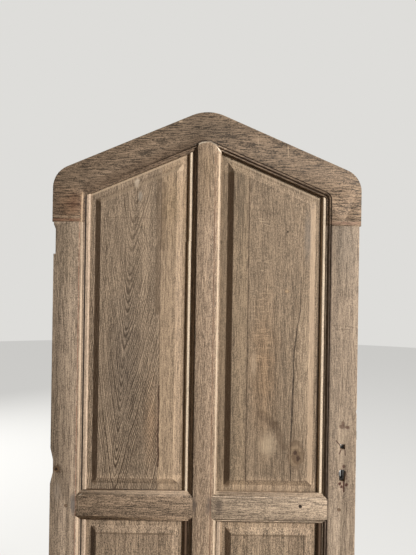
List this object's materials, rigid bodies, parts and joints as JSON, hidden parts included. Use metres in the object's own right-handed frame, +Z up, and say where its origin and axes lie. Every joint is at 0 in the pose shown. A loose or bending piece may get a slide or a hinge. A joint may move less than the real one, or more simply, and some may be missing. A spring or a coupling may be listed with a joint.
{
  "type": "arched wooden door leaf",
  "caption": "Peaked-arch panelled door leaf of oak with moulded frame members, raised panels and a sprung mortise lock, to be hung on hinges at its side.",
  "frame": {"origin": "middle of the bottom edge: halfway across the stiles and halfway through the thickness", "axes": "+X across the leaf towards the lock, +Y from the moulded front face to the back, +Z up"},
  "size_m": [0.8605, 0.038, 1.9999],
  "materials": {
    "oak_frame": "stripped and weathered",
    "oak_panel": "stripped and weathered",
    "oak_slip": "stripped, paler than the frame",
    "oak_peg": "end grain, darker",
    "lock_plate": "dull, rusted",
    "lock_faceplate": "dull, rusted",
    "lock_bolt": "worn bright",
    "spring_steel": "dark",
    "screw_steel": "dull"
  },
  "bodies": {
    "leaf": {"bolt_spring": "spring_steel", "bottom_rail": "oak_frame", "cover_screws": "screw_steel", "faceplate_screws": "screw_steel", "hinge_stile": "oak_frame", "latch_spring": "spring_steel", "lock_case": "lock_plate", "lock_cover": "lock_plate", "lock_faceplate": "lock_faceplate", "lock_stile": "oak_frame", "mid_rail_left": "oak_frame", "mid_rail_right": "oak_frame", "muntin": "oak_frame", "panel_lower_left_board_1": "oak_panel", "panel_lower_left_board_2": "oak_panel", "panel_lower_left_board_3": "oak_panel", "panel_lower_right_board_1": "oak_panel", "panel_lower_right_board_2": "oak_panel", "panel_lower_right_board_3": "oak_panel", "panel_upper_left_board_1": "oak_panel", "panel_upper_left_board_2": "oak_panel", "panel_upper_right_board_1": "oak_panel", "panel_upper_right_board_2": "oak_panel", "pegs": "oak_peg", "slip_lower_left_inner": "oak_slip", "slip_lower_left_outer": "oak_slip", "slip_lower_right_inner": "oak_slip", "slip_lower_right_outer": "oak_slip", "slip_upper_left_inner_foot": "oak_slip", "slip_upper_left_inner_head": "oak_slip", "slip_upper_left_outer": "oak_slip", "slip_upper_right_outer": "oak_slip", "top_rail": "oak_frame"},
    "latch": {"latch_bolt": "lock_bolt"},
    "handle_follower": {"follower": "lock_bolt"},
    "dead_bolt": {"dead_bolt": "lock_bolt"}
  },
  "joints": [
    {"name": "latch_slide", "type": "slide", "parent": "leaf", "child": "latch", "axis": [-1, 0, 0], "range_m": [0, 0.006], "stiffness_N_per_m": 600, "springref_m": -0.005, "deforming": ["latch_spring"]},
    {"name": "follower_turn", "type": "hinge", "parent": "leaf", "child": "handle_follower", "pos_m": [0.387, 0, 1.075], "axis": [0, -1, 0], "range_deg": [0, 14]},
    {"name": "dead_bolt_slide", "type": "slide", "parent": "leaf", "child": "dead_bolt", "axis": [1, 0, 0], "range_m": [0, 0.014]}
  ],
  "couplings": [
    {"joint": "follower_turn", "follows": "latch_slide", "rad_per_m": 40}
  ]
}
